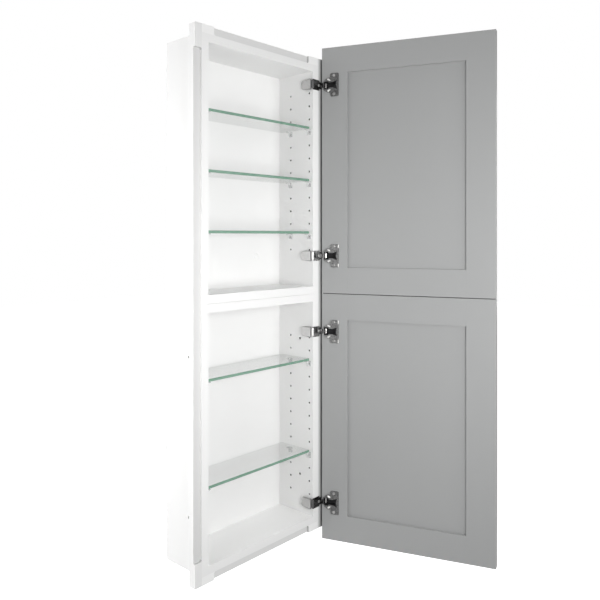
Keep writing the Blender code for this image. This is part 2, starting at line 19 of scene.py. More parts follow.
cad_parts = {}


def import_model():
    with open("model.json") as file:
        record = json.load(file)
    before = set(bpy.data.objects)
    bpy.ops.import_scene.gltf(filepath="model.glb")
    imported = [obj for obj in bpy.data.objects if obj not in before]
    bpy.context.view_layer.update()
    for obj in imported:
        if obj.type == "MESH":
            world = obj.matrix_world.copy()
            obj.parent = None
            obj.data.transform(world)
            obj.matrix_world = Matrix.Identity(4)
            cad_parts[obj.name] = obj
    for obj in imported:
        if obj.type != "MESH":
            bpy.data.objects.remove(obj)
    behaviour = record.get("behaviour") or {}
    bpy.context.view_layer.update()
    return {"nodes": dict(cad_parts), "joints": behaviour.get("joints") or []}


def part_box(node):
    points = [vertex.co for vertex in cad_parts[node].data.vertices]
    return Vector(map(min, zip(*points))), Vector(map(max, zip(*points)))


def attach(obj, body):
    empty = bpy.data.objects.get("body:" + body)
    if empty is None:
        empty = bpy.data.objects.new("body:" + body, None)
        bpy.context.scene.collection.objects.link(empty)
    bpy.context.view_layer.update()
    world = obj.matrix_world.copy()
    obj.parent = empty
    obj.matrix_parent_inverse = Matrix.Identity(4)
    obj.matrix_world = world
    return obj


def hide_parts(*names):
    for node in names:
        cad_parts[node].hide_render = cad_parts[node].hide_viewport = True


LOG = logging.getLogger("medicine_cabinet")
SMOOTH_ANGLE = math.radians(32.0)
FACING_LEVEL = 0.5

Triple = tuple[float, float, float]
Span = tuple[float, float]
Colour = Triple
Options = dict[str, Any] | None
Sockets = dict[str | int, Any] | None
Nodes = dict[str, bpy.types.Object]
Material = bpy.types.Material
Mesh = bpy.types.Mesh


class Body(Enum):
    """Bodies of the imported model."""

    CABINET = "cabinet"
    UPPER_DOOR = "upper_door"
    LOWER_DOOR = "lower_door"


class Slot(Enum):
    """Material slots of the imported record."""

    WHITE_PAINT = "white_paint"
    GREY_PAINT = "grey_paint"
    GLASS = "glass"
    CLEAR_PLASTIC = "clear_plastic"
    NICKEL = "nickel"


def joined(operation: str, swapped: bool = False) -> Callable[[Signal, Signal | float], Signal]:
    """Makes one of Signal's operators.

    Args:
        operation: Blender's name of the operation.
        swapped: Whether the signal is the value on the right.

    Returns:
        The operator.
    """

    def operator(signal: Signal, other: Signal | float) -> Signal:
        """Joins the signal and another value in a Math node."""
        sides = (other, signal) if swapped else (signal, other)
        return signal.graph.maths(operation, *sides)

    return operator


class Signal:
    """A node's output that takes part in plain arithmetic; a comparison gives 1 or 0."""

    __add__ = joined("ADD")
    __radd__ = joined("ADD", swapped=True)
    __sub__ = joined("SUBTRACT")
    __rsub__ = joined("SUBTRACT", swapped=True)
    __mul__ = joined("MULTIPLY")
    __rmul__ = joined("MULTIPLY", swapped=True)
    __pow__ = joined("POWER")
    __gt__ = joined("GREATER_THAN")
    __lt__ = joined("LESS_THAN")

    def __init__(self, graph: NodeGraph, socket: bpy.types.NodeSocket) -> None:
        """Keeps the socket and the graph that it is in."""
        self.graph = graph
        self.socket = socket

    def __abs__(self) -> Signal:
        """Drops the sign."""
        return self.graph.maths("ABSOLUTE", self, 0.0)


class NodeGraph:
    """Adds nodes and links to one node tree."""

    def __init__(self, tree: bpy.types.NodeTree) -> None:
        """Keeps the tree that the nodes go into."""
        self.tree = tree

    def node(self, kind: str, settings: Options = None, sockets: Sockets = None) -> bpy.types.Node:
        """Adds a node, sets it up and fills its inputs.

        Args:
            kind: Blender's type name of the node.
            settings: The node's own options, which are set first.
            sockets: A value, a signal or a list of signals for each input, by name or number.

        Returns:
            The new node.
        """
        made = self.tree.nodes.new(kind)
        for option, value in (settings or {}).items():
            setattr(made, option, value)
        for key, value in (sockets or {}).items():
            for part in value if isinstance(value, list) else [value]:
                if isinstance(part, Signal):
                    self.tree.links.new(part.socket, made.inputs[key])
                else:
                    made.inputs[key].default_value = part
        return made

    def signal(
        self, kind: str, settings: Options = None, sockets: Sockets = None, output: str | int = 0
    ) -> Signal:
        """Adds a node, as node() does, and returns one of its outputs by name or number."""
        return Signal(self, self.node(kind, settings, sockets).outputs[output])

    def maths(self, operation: str, first: Signal | float, second: Signal | float) -> Signal:
        """Returns the result of a Math node on a left and a right value."""
        return self.signal("ShaderNodeMath", {"operation": operation}, {0: first, 1: second})


class ShaderGraph(NodeGraph):
    """The nodes of one material."""

    MIX_COLOURS = (6, 7)
    MIX_RESULT = 2

    def __init__(self, name: str) -> None:
        """Starts an empty material that knows where its points are.

        Args:
            name: The material's name.
        """
        self.material = bpy.data.materials.new(name)
        self.material.use_nodes = True
        super().__init__(self.material.node_tree)
        self.tree.nodes.clear()
        self.place = self.signal("ShaderNodeTexCoord", output="Object")

    def axes(self, vector: Signal) -> tuple[Signal, Signal, Signal]:
        """Splits a vector into its three parts."""
        split = self.node("ShaderNodeSeparateXYZ", None, {0: vector})
        return tuple(Signal(self, split.outputs[axis]) for axis in "XYZ")

    def normal(self) -> Signal:
        """Returns the direction that each face looks in."""
        return self.signal("ShaderNodeNewGeometry", output="True Normal")

    def along(self, direction: Triple) -> Signal:
        """Returns how far each point lies in a direction."""
        sockets = {0: self.place, 1: direction}
        return self.signal("ShaderNodeVectorMath", {"operation": "DOT_PRODUCT"}, sockets, "Value")

    def glance(self, index: float) -> Signal:
        """Returns the share of light that a clear surface mirrors at each angle."""
        return self.signal("ShaderNodeFresnel", None, {"IOR": index})

    def noise(self, size: float, detail: float, place: Signal | None = None) -> Signal:
        """Returns a soft random pattern from 0 to 1, with features of a size in metres."""
        sockets = {"Vector": place or self.place, "Scale": 1.0 / size, "Detail": detail}
        return self.signal("ShaderNodeTexNoise", None, sockets)

    def mix(self, factor: Signal, first: Colour | Signal, second: Colour | Signal) -> Signal:
        """Mixes two colours.

        Args:
            factor: 0 for the first colour, 1 for the second.
            first: A colour or a signal of one.
            second: A colour or a signal of one.

        Returns:
            The mixed colour.
        """
        sides = [side if isinstance(side, Signal) else (*side, 1.0) for side in (first, second)]
        sockets = {0: factor} | dict(zip(self.MIX_COLOURS, sides))
        return self.signal("ShaderNodeMix", {"data_type": "RGBA"}, sockets, self.MIX_RESULT)

    def ramp(self, value: Signal, start: float, end: float) -> Signal:
        """Returns a smooth step from 0 at the start value to 1 at the end value."""
        span = {"Value": value, "From Min": start, "From Max": end}
        return self.signal("ShaderNodeMapRange", {"interpolation_type": "SMOOTHSTEP"}, span)

    def within(self, low: Triple, high: Triple, skin: float = 0.0) -> Signal:
        """Marks what lies inside a box.

        Args:
            low: The box's lowest corner.
            high: Its highest corner.
            skin: How far inside the box the mark begins.

        Returns:
            1 inside, 0 outside.
        """
        inside = 1.0
        for axis, start, end in zip(self.axes(self.place), low, high):
            inside = (axis > start + skin) * (axis < end - skin) * inside
        return inside

    def bump(self, height: Signal, depth: float) -> Signal:
        """Turns a pattern into relief of a depth in metres."""
        return self.signal("ShaderNodeBump", None, {"Distance": depth, "Height": height})

    def surface(self, sockets: Sockets) -> Material:
        """Ends the material in a Principled shader.

        Args:
            sockets: Values or signals for the shader's inputs.

        Returns:
            The finished material.
        """
        shader = self.signal("ShaderNodeBsdfPrincipled", None, sockets)
        self.node("ShaderNodeOutputMaterial", None, {"Surface": shader})
        return self.material


def shade(colour: Colour, share: float) -> Colour:
    """Returns a colour made lighter or darker by a share of itself."""
    return tuple(min(1.0, part * (1.0 + share)) for part in colour)


@dataclass(frozen=True)
class SprayedPaint:
    """Satin paint sprayed on smooth board: soft clouds of tone over a fine orange peel."""

    name: str
    tone: Colour
    roughness: float
    cloud: float = 0.012
    cloud_size: float = 0.09
    sheen: float = 0.06
    sheen_size: float = 0.027
    peel_size: float = 0.0016
    peel_depth: float = 0.00003
    ripple: float = 0.35
    ripple_size: float = 0.0064

    def material(self) -> Material:
        """Makes the paint's material.

        Returns:
            The material.
        """
        graph = ShaderGraph(self.name)
        clouds = graph.noise(self.cloud_size, detail=4.0)
        sheen = graph.noise(self.sheen_size, detail=3.0)
        ripples = graph.noise(self.ripple_size, detail=1.0)
        peel = graph.noise(self.peel_size, detail=1.5) + self.ripple * ripples
        colour = graph.mix(clouds, shade(self.tone, -self.cloud), shade(self.tone, self.cloud))
        return graph.surface(
            {
                "Base Color": self.toned(graph, colour),
                "Roughness": self.roughness - self.sheen + 2.0 * self.sheen * sheen,
                "Normal": graph.bump(peel, self.peel_depth),
            }
        )

    def toned(self, graph: ShaderGraph, colour: Signal) -> Signal:
        """Lets a kind of paint change its tone in places; plain paint keeps it."""
        return colour


@dataclass(frozen=True)
class HoleShadedPaint(SprayedPaint):
    """Paint on a side board, with painted shade in the holes drilled through its face."""

    low: Triple = (0.0, 0.0, 0.0)
    high: Triple = (1.0, 1.0, 1.0)
    skin: float = 0.0004
    # Painted shade: a dark tone in the holes.
    hole_shade_tone: Colour = (0.16, 0.155, 0.15)

    def toned(self, graph: ShaderGraph, colour: Signal) -> Signal:
        """Paints shade on what lies inside the board: the walls of its holes."""
        return graph.mix(graph.within(self.low, self.high, self.skin), colour, self.hole_shade_tone)


@dataclass(frozen=True)
class TopLitBoardPaint(SprayedPaint):
    """Paint on a level board, with painted light on its upper face."""

    # Painted light: a lighter tone on the upper face.
    upper_light_share: float = 0.11

    def toned(self, graph: ShaderGraph, colour: Signal) -> Signal:
        """Paints light on the upper face."""
        _, _, upright = graph.axes(graph.normal())
        return graph.mix(upright > FACING_LEVEL, colour, shade(self.tone, self.upper_light_share))


@dataclass(frozen=True)
class PulledPaint(SprayedPaint):
    """Paint on a face strip, with painted shade on the floor and the walls of its finger pull."""

    low: Triple = (-1.0, -1.0, -1.0)
    high: Triple = (1.0, 1.0, 1.0)
    # Painted shade: darker tones on the pull's floor and walls.
    floor_shade_share: float = -0.19
    wall_shade_share: float = -0.36

    def toned(self, graph: ShaderGraph, colour: Signal) -> Signal:
        """Paints shade on what lies inside the pull.

        Args:
            graph: The material's nodes.
            colour: The paint's colour.

        Returns:
            The colour with the painted shade of the pull's floor and walls mixed in.
        """
        _, forward, _ = graph.axes(graph.normal())
        wall, floor = (shade(self.tone, share) for share in (self.wall_shade_share, self.floor_shade_share))
        sunk = graph.mix(forward < -FACING_LEVEL, wall, floor)
        return graph.mix(graph.within(self.low, self.high), colour, sunk)


@dataclass(frozen=True)
class CornerShadowPaint(SprayedPaint):
    """Paint on the hinge side's strip, with painted shadow where the doors' edges crowd it.

    Each step is where a shade comes in, as shares of the strip's width, and the shade itself.
    """

    inner: float = 0.0
    outer: float = 1.0
    # Painted shadow: darker steps towards the doors' edges.
    steps: tuple[tuple[Span, float], ...] = (
        ((-0.05, 0.45), -0.36),
        ((0.44, 0.52), -0.60),
        ((0.68, 0.76), -0.78),
    )

    def toned(self, graph: ShaderGraph, colour: Signal) -> Signal:
        """Paints shadow on the strip's front towards its outer edge.

        Args:
            graph: The material's nodes.
            colour: The paint's colour.

        Returns:
            The colour with the shade mixed in.
        """
        x, _, _ = graph.axes(graph.place)
        _, forward, _ = graph.axes(graph.normal())
        front = forward < -FACING_LEVEL
        across = (x - self.inner) * (1.0 / (self.outer - self.inner))
        for span, share in self.steps:
            reached = front * graph.ramp(across, *span)
            colour = graph.mix(reached, colour, shade(self.tone, share))
        return colour


@dataclass(frozen=True)
class GreenEdgedGlass:
    """Float glass: clear through its faces, and green along its ground front edge."""

    front: float
    name: str = "green_edged_glass"
    face_tone: Colour = (0.77, 0.79, 0.785)
    edge_tone: Colour = (0.10, 0.235, 0.165)
    streak_tone: Colour = (0.20, 0.37, 0.27)
    streak_size: float = 0.012
    face_level: float = 0.9
    front_band: float = 0.0032
    face_alpha: float = 0.03
    front_alpha: float = 0.92
    side_alpha: float = 0.08
    glint: float = 0.11
    glint_index: float = 1.5
    index: float = 1.52
    edge_roughness: float = 0.22
    face_polish: float = 0.19
    smear: float = 0.03
    smear_size: float = 0.02
    smear_depth: float = 0.000004

    def material(self) -> Material:
        """Makes the glass's material.

        Returns:
            The material.
        """
        graph = ShaderGraph(self.name)
        _, _, upright = graph.axes(graph.normal())
        _, depth, _ = graph.axes(graph.place)
        face = abs(upright) > self.face_level
        at_front = depth < self.front + self.front_band
        ground = self.side_alpha + (self.front_alpha - self.side_alpha) * at_front
        clear = self.face_alpha + self.glint * graph.glance(self.glint_index)
        streaks = graph.noise(self.streak_size, detail=2.0)
        smears = graph.noise(self.smear_size, detail=3.0)
        edge_colour = graph.mix(streaks, self.edge_tone, self.streak_tone)
        return graph.surface(
            {
                "Base Color": graph.mix(face, edge_colour, self.face_tone),
                "Roughness": self.edge_roughness - self.face_polish * face + self.smear * smears,
                "IOR": self.index,
                "Alpha": ground + face * (clear - ground),
                "Normal": graph.bump(smears, self.smear_depth),
            }
        )


@dataclass(frozen=True)
class ClearMoulding:
    """Clear moulded plastic with a faint haze."""

    name: str
    tone: Colour
    alpha: float
    index: float = 1.49
    glint: float = 0.45
    roughness: float = 0.12
    haze_size: float = 0.003
    haze_depth: float = 0.00002
    haze_share: float = -0.06
    haze_alpha: float = 0.08
    haze_roughness: float = 0.1

    def material(self) -> Material:
        """Makes the plastic's material.

        Returns:
            The material.
        """
        graph = ShaderGraph(self.name)
        haze = graph.noise(self.haze_size, detail=3.0)
        clear = self.alpha + self.glint * graph.glance(self.index)
        return graph.surface(
            {
                "Base Color": graph.mix(haze, shade(self.tone, self.haze_share), self.tone),
                "Roughness": self.roughness + self.haze_roughness * haze,
                "IOR": self.index,
                "Alpha": clear + self.haze_alpha * haze,
                "Normal": graph.bump(haze, self.haze_depth),
            }
        )


@dataclass(frozen=True)
class PlatedSteel:
    """Nickel-plated steel with drawing marks and handling wear."""

    name: str
    tone: Colour
    roughness: float
    metal: float = 1.0
    polish: float = 0.07
    mark_size: float = 0.0005
    mark_stretch: float = 0.08
    mark_depth: float = 0.000006
    mark_roughness: float = 0.06
    wear_size: float = 0.006
    wear_and_reflection_shares: Span = (-0.14, 0.1)
    wear_roughness: float = 0.1
    painted_light_tone: Colour = (0.0, 0.0, 0.0)
    patch_dulling: float = 0.0

    def material(self) -> Material:
        """Makes the plating's material.

        Returns:
            The material.
        """
        graph = ShaderGraph(self.name)
        sockets = {"Vector": graph.place, "Scale": (1.0, 1.0, self.mark_stretch)}
        drawn = graph.signal("ShaderNodeMapping", None, sockets)
        marks = graph.noise(self.mark_size, detail=2.0, place=drawn)
        wear = graph.noise(self.wear_size, detail=4.0)
        worn, bright = (shade(self.tone, share) for share in self.wear_and_reflection_shares)
        rubbed = self.wear_roughness * wear + self.mark_roughness * marks
        sockets = {
            "Base Color": graph.mix(wear, worn, bright),
            "Metallic": self.metal,
            "Roughness": self.roughness - self.polish + rubbed,
            "Normal": graph.bump(marks, self.mark_depth),
        }
        # Painted light and shade: a second tone mixed in where a kind of plating marks it.
        painted_light = self.painted_light(graph)
        if painted_light is not None:
            sockets["Base Color"] = graph.mix(painted_light, sockets["Base Color"], self.painted_light_tone)
            if self.patch_dulling:
                sockets["Metallic"] = self.metal * (1.0 - painted_light)
                sockets["Roughness"] = sockets["Roughness"] + self.patch_dulling * painted_light
        return graph.surface(sockets)

    def painted_light(self, graph: ShaderGraph) -> Signal | None:
        """Marks where painted light and shade show; plain plating has none."""
        return None


@dataclass(frozen=True)
class HollowCupSteel(PlatedSteel):
    """Plating of a hinge cup, mottled by wear and by painted reflection, with painted shade near
    black in its pocket, which is also bare of metal.
    """

    name: str = "cup_nickel"
    tone: Colour = (0.45, 0.45, 0.45)
    roughness: float = 0.3
    wear_size: float = 0.0034
    # Partly painted reflection: on the cup this strong mottle of tone stands in for the plate's
    # broken reflections, over its wear.
    wear_and_reflection_shares: Span = (-0.95, 0.85)
    # Painted shade: a near-black tone in the pocket for the shade of the cup's hollow.
    painted_light_tone: Colour = (0.012, 0.012, 0.013)
    patch_dulling: float = 0.25
    facing: Triple = (0.0, 1.0, 0.0)
    level: float = 0.0
    rim: Span = (-0.00052, -0.00028)

    def painted_light(self, graph: ShaderGraph) -> Signal:
        """Marks what lies below the cup's face, where the shade is painted."""
        return 1.0 - graph.ramp(graph.along(self.facing) - self.level, *self.rim)


@dataclass(frozen=True)
class WrappedArmSteel(PlatedSteel):
    """Plating of a hinge arm: dull on its sheet, with a painted highlight round its eye."""

    name: str = "arm_nickel"
    tone: Colour = (0.28, 0.28, 0.28)
    roughness: float = 0.26
    # Painted highlight: a near-white tone round the eye.
    painted_light_tone: Colour = (0.78, 0.77, 0.75)
    axis: Span = (0.0, 0.0)
    eye_highlight_radius: float = 0.0029

    def painted_light(self, graph: ShaderGraph) -> Signal:
        """Marks what lies close to the pivot, where the highlight is painted."""
        side, out = (part - axis for part, axis in zip(graph.axes(graph.place), self.axis))
        return side * side + out * out < self.eye_highlight_radius**2


@dataclass(frozen=True)
class CastCoverSteel(PlatedSteel):
    """Plating of a hinge's cast base cover: bright on its face, with painted shade on its ends and
    edges.
    """

    name: str = "cover_nickel"
    tone: Colour = (0.68, 0.675, 0.67)
    roughness: float = 0.36
    metal: float = 0.3
    # Painted shade: a darker tone on the ends and the long edges.
    painted_light_tone: Colour = (0.26, 0.26, 0.26)
    heights: tuple[float, ...] = (0.0,)
    edge_shade_band: Span = (0.0095, 0.0125)
    end_level: float = 0.4

    def painted_light(self, graph: ShaderGraph) -> Signal:
        """Marks the long edges and the faces that look up, down or forwards, which get painted
        shade.

        Args:
            graph: The material's nodes.

        Returns:
            1 on the ends and edges, 0 on the cover's face.
        """
        _, forward, upright = graph.axes(graph.normal())
        _, _, z = graph.axes(graph.place)
        away = abs(z - self.heights[0])
        for height in self.heights[1:]:
            away = graph.maths("MINIMUM", away, abs(z - height))
        end = graph.maths("MAXIMUM", abs(upright), 0.0 - forward) > self.end_level
        return graph.maths("MAXIMUM", end, graph.ramp(away, *self.edge_shade_band))


@dataclass(frozen=True)
class EndShadedSteel(PlatedSteel):
    """Plating that is bright on the middle hinges, with painted shade on those at the cabinet's
    ends.
    """

    # Painted shade: a dark tone on the hinges at the cabinet's ends, which catch less reflected
    # light.
    painted_light_tone: Colour = (0.13, 0.13, 0.13)
    middle: float = 0.0
    reach: Span = (0.25, 0.30)

    def painted_light(self, graph: ShaderGraph) -> Signal:
        """Marks what lies far from the cabinet's middle."""
        _, _, z = graph.axes(graph.place)
        return graph.ramp(abs(z - self.middle), *self.reach)


WHITE_PAINT = SprayedPaint("white_satin_paint", (0.86, 0.86, 0.855), roughness=0.40)
GREY_PAINT = SprayedPaint("grey_satin_paint", (0.358, 0.362, 0.362), roughness=0.46)
# Painted shade: a near-black paint for the bead that stands in for the shade in the joint between
# the doors.
JOINT_SHADE_PAINT = SprayedPaint("joint_shade_paint", (0.045, 0.045, 0.046), roughness=0.6)
CLEAR_PLASTIC = ClearMoulding("clear_plastic", (0.90, 0.91, 0.91), alpha=0.10)
# Partly painted highlight: a near-white, half-metallic tone that makes the rolled beads, lips and
# folds read as glints, besides their real reflections.
GLINT_NICKEL = PlatedSteel("glint_painted_nickel", (0.92, 0.91, 0.89), roughness=0.32, metal=0.45)
SCREW_NICKEL = PlatedSteel("screw_nickel", (0.52, 0.515, 0.51), roughness=0.3)


class ShapeTree(NodeGraph):
    """A geometry tree with named sizes that turns points or paths into a plain mesh."""

    def __init__(self, name: str, sizes: Sequence[str]) -> None:
        """Starts the tree.

        Args:
            name: The tree's name.
            sizes: The names of its size inputs.
        """
        super().__init__(bpy.data.node_groups.new(name, "GeometryNodeTree"))
        face = self.tree.interface
        face.new_socket(name="Geometry", in_out="INPUT", socket_type="NodeSocketGeometry")
        kinds = {size: "NodeSocketFloat" for size in sizes} | {"Finish": "NodeSocketMaterial"}
        self.inputs = {
            size: face.new_socket(name=size, in_out="INPUT", socket_type=kind).identifier
            for size, kind in kinds.items()
        }
        face.new_socket(name="Geometry", in_out="OUTPUT", socket_type="NodeSocketGeometry")
        self.entry = self.node("NodeGroupInput")

    def given(self, name: str) -> Signal:
        """Returns one of the tree's inputs."""
        return Signal(self, self.entry.outputs[name])

    def vector(self, x: Signal | float, y: Signal | float, z: Signal | float) -> Signal:
        """Joins three values into a vector."""
        return self.signal("ShaderNodeCombineXYZ", None, {0: x, 1: y, 2: z})

    def changed(self, geometry: Signal, change: str, amount: Signal) -> Signal:
        """Scales or shifts a shape, as the change's name says."""
        return self.signal("GeometryNodeTransform", None, {"Geometry": geometry, change: amount})

    def end(self, geometry: Signal) -> None:
        """Makes the result real, gives it its finish and ends the tree.

        Args:
            geometry: The result.
        """
        real = self.signal("GeometryNodeRealizeInstances", None, {"Geometry": geometry})
        sockets = {"Geometry": real, "Material": self.given("Finish")}
        finished = self.signal("GeometryNodeSetMaterial", None, sockets)
        self.node("NodeGroupOutput", None, {0: finished})

    def run(
        self, name: str, start: Mesh, sizes: dict[str, float], finish: Material, body: Body
    ) -> None:
        """Runs the tree once and adds the plain mesh that it makes as a plated piece.

        Args:
            name: The piece's name.
            start: The points or paths that go in.
            sizes: A value for each size input.
            finish: The material.
            body: The body that carries the piece.
        """
        carrier = bpy.data.objects.new(name + "_start", start)
        bpy.context.scene.collection.objects.link(carrier)
        modifier = carrier.modifiers.new("shape", "NODES")
        modifier.node_group = self.tree
        for size, value in (sizes | {"Finish": finish}).items():
            modifier[self.inputs[size]] = value
        seen = carrier.evaluated_get(bpy.context.evaluated_depsgraph_get())
        made = bpy.data.meshes.new_from_object(seen)
        carrier.modifiers.remove(modifier)
        bpy.data.objects.remove(carrier, do_unlink=True)
        made.name = name
        add_piece(name, made, finish, body)


@dataclass(frozen=True)
class ScrewSeat:
    """Where a screw's head sits."""

    place: Vector
    facing: Vector
    turn: float


@dataclass(frozen=True)
class PanHeadScrews:
    """Pan-head screws with a cross recess, one on each seat."""

    radius: float = 0.0034
    height: float = 0.0013
    recess_length: float = 0.0046
    recess_width: float = 0.0010
    recess_depth: float = 0.0009
    sides: int = 28
    dome_share: float = 1.12
    drum_share: float = 1.3

    def tree(self) -> ShapeTree:
        """Draws one head and puts it on every point.

        Returns:
            The tree that does so.
        """
        tree = ShapeTree("pan_head_screws", list(self.sizes()))
        radius, height = tree.given("Head Radius"), tree.given("Head Height")
        sockets = {"Segments": self.sides, "Rings": self.sides // 2, "Radius": 1.0}
        ball = tree.signal("GeometryNodeMeshUVSphere", None, sockets)
        spread = radius * self.dome_share
        dome = tree.changed(ball, "Scale", tree.vector(spread, spread, height))
        sockets = {"Vertices": self.sides, "Radius": radius, "Depth": height * self.drum_share}
        drum = tree.signal("GeometryNodeMeshCylinder", None, sockets)
        drum = tree.changed(drum, "Translation", tree.vector(0.0, 0.0, height * 0.5))
        settings = {"operation": "INTERSECT", "solver": "EXACT"}
        head = tree.signal("GeometryNodeMeshBoolean", settings, {"Mesh 2": [dome, drum]})
        length, width = tree.given("Recess Length"), tree.given("Recess Width")
        depth = tree.given("Recess Depth") * 2.0
        crown = tree.vector(0.0, 0.0, height)
        slots = []
        for x, y in ((length, width), (width, length)):
            bar = tree.signal("GeometryNodeMeshCube", None, {"Size": tree.vector(x, y, depth)})
            slots.append(tree.changed(bar, "Translation", crown))
        settings = {"operation": "DIFFERENCE", "solver": "EXACT"}
        sockets = {"Mesh 1": head, "Mesh 2": slots}
        head = tree.signal("GeometryNodeMeshBoolean", settings, sockets)
        sockets = {"Points": tree.given("Geometry"), "Instance": head, "Rotation": self.aim(tree)}
        tree.end(tree.signal("GeometryNodeInstanceOnPoints", None, sockets))
        return tree

    def aim(self, tree: ShapeTree) -> Signal:
        """Returns the rotation that each point's direction and turn ask for.

        Args:
            tree: The tree that puts a head on every point.

        Returns:
            The rotation of each head.
        """
        named = "GeometryNodeInputNamedAttribute"
        facing = tree.signal(named, {"data_type": "FLOAT_VECTOR"}, {"Name": "facing"})
        turn = tree.signal(named, {"data_type": "FLOAT"}, {"Name": "turn"})
        aim = tree.signal("FunctionNodeAlignRotationToVector", {"axis": "Z"}, {"Vector": facing})
        sockets = {"Axis": (0.0, 0.0, 1.0), "Angle": turn}
        spin = tree.signal("FunctionNodeAxisAngleToRotation", None, sockets)
        sockets = {"Rotation": aim, "Rotate By": spin}
        return tree.signal("FunctionNodeRotateRotation", {"rotation_space": "LOCAL"}, sockets)

    def sizes(self) -> dict[str, float]:
        """Returns the tree's size inputs and their values."""
        return {
            "Head Radius": self.radius,
            "Head Height": self.height,
            "Recess Length": self.recess_length,
            "Recess Width": self.recess_width,
            "Recess Depth": self.recess_depth,
        }

    def seats(self, seats: Sequence[ScrewSeat]) -> Mesh:
        """Returns a mesh of points that carry each seat's direction and turn.

        Args:
            seats: The screws' seats.

        Returns:
            The mesh.
        """
        mesh = bpy.data.meshes.new("screw_seats")
        mesh.from_pydata([seat.place for seat in seats], [], [])
        mesh.attributes.new("facing", "FLOAT_VECTOR", "POINT")
        mesh.attributes.new("turn", "FLOAT", "POINT")
        for index, seat in enumerate(seats):
            mesh.attributes["facing"].data[index].vector = seat.facing
            mesh.attributes["turn"].data[index].value = seat.turn
        return mesh


@dataclass(frozen=True)
class RolledBeads:
    """Rounded beads that follow paths on a hinge, thinner at their ends."""

    radius: float
    bend: float = 0.0015
    bend_points: int = 4
    path_points: int = 18
    ring_sides: int = 12
    taper_power: float = 6.0
    end_share: float = 0.02

    def tree(self) -> ShapeTree:
        """Rolls a tapered bead along every path.

        Returns:
            The tree that does so.
        """
        tree = ShapeTree("rolled_beads", list(self.sizes()))
        path = tree.signal("GeometryNodeMeshToCurve", None, {"Mesh": tree.given("Geometry")})
        sockets = {
            "Curve": path,
            "Count": self.bend_points,
            "Radius": tree.given("Bend Radius"),
            "Limit Radius": True,
        }
        path = tree.signal("GeometryNodeFilletCurve", {"mode": "POLY"}, sockets)
        sockets = {"Curve": path, "Count": self.path_points}
        path = tree.signal("GeometryNodeResampleCurve", {"mode": "COUNT"}, sockets)
        along = tree.signal("GeometryNodeSplineParameter", output="Factor")
        from_middle = abs(along * 2.0 - 1.0)
        taper = (1.0 + self.end_share - from_middle**self.taper_power) ** 0.5
        sockets = {"Resolution": self.ring_sides, "Radius": tree.given("Bead Radius")}
        ring = tree.signal("GeometryNodeCurvePrimitiveCircle", None, sockets)
        sockets = {"Curve": path, "Profile Curve": ring, "Scale": taper, "Fill Caps": True}
        tree.end(tree.signal("GeometryNodeCurveToMesh", None, sockets))
        return tree

    def sizes(self) -> dict[str, float]:
        """Returns the tree's size inputs and their values."""
        return {"Bead Radius": self.radius, "Bend Radius": self.bend}

    def paths(self, lines: Sequence[Sequence[Vector]]) -> Mesh:
        """Returns a mesh of edges, one chain for each line of points.

        Args:
            lines: The points of each line.

        Returns:
            The mesh.
        """
        points: list[Vector] = []
        edges: list[tuple[int, int]] = []
        for line in lines:
            first = len(points)
            points.extend(line)
            edges.extend((step, step + 1) for step in range(first, len(points) - 1))
        mesh = bpy.data.meshes.new("bead_paths")
        mesh.from_pydata(points, edges, [])
        return mesh


def finished_mesh(name: str, shape: bmesh.types.BMesh) -> Mesh:
    """Turns a bmesh into a mesh with its faces outwards.

    Args:
        name: The mesh's name.
        shape: The shape, which is freed.

    Returns:
        The mesh.
    """
    bmesh.ops.recalc_face_normals(shape, faces=shape.faces)
    mesh = bpy.data.meshes.new(name)
    shape.to_mesh(mesh)
    shape.free()
    return mesh


def lofted(name: str, rings: Sequence[Sequence[Vector | Triple]]) -> Mesh:
    """Skins a closed solid over rings of points.

    Args:
        name: The mesh's name.
        rings: The rings, all with as many points, or with a single point for a pole.

    Returns:
        The mesh.
    """
    shape = bmesh.new()
    corners = [[shape.verts.new(point) for point in ring] for ring in rings]
    around = max(len(ring) for ring in rings)
    for lower, upper in zip(corners, corners[1:]):
        for step in range(around):
            after = (step + 1) % around
            face = [lower[turn % len(lower)] for turn in (step, after)]
            face += [upper[turn % len(upper)] for turn in (after, step)]
            shape.faces.new(list(dict.fromkeys(face)))
    for ring in (corners[0], corners[-1]):
        if len(ring) > 1:
            shape.faces.new(ring)
    return finished_mesh(name, shape)


def add_piece(
    name: str, mesh: Mesh, finish: Material, body: Body
) -> bpy.types.Object:
    """Puts a finished mesh into the scene as a piece that rides on a body.

    Args:
        name: The piece's name.
        mesh: Its mesh, already in place.
        finish: Its material.
        body: The body that carries it.

    Returns:
        The piece.
    """
    mesh.materials.clear()
    mesh.materials.append(finish)
    for face in mesh.polygons:
        face.use_smooth = True
    mesh.set_sharp_from_angle(angle=SMOOTH_ANGLE)
    piece = bpy.data.objects.new(name, mesh)
    bpy.context.scene.collection.objects.link(piece)
    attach(piece, body.value)
    LOG.info("%s: %d faces, on %s", name, len(mesh.polygons), body.value)
    return piece


def dress_node(node: bpy.types.Object, finish: Material) -> None:
    """Gives a CAD node its finish and reports it.

    Args:
        node: The CAD node's object.
        finish: Its material.
    """
    for holder in node.material_slots:
        holder.material = finish
    LOG.info("%s: %s", node.name, finish.name)


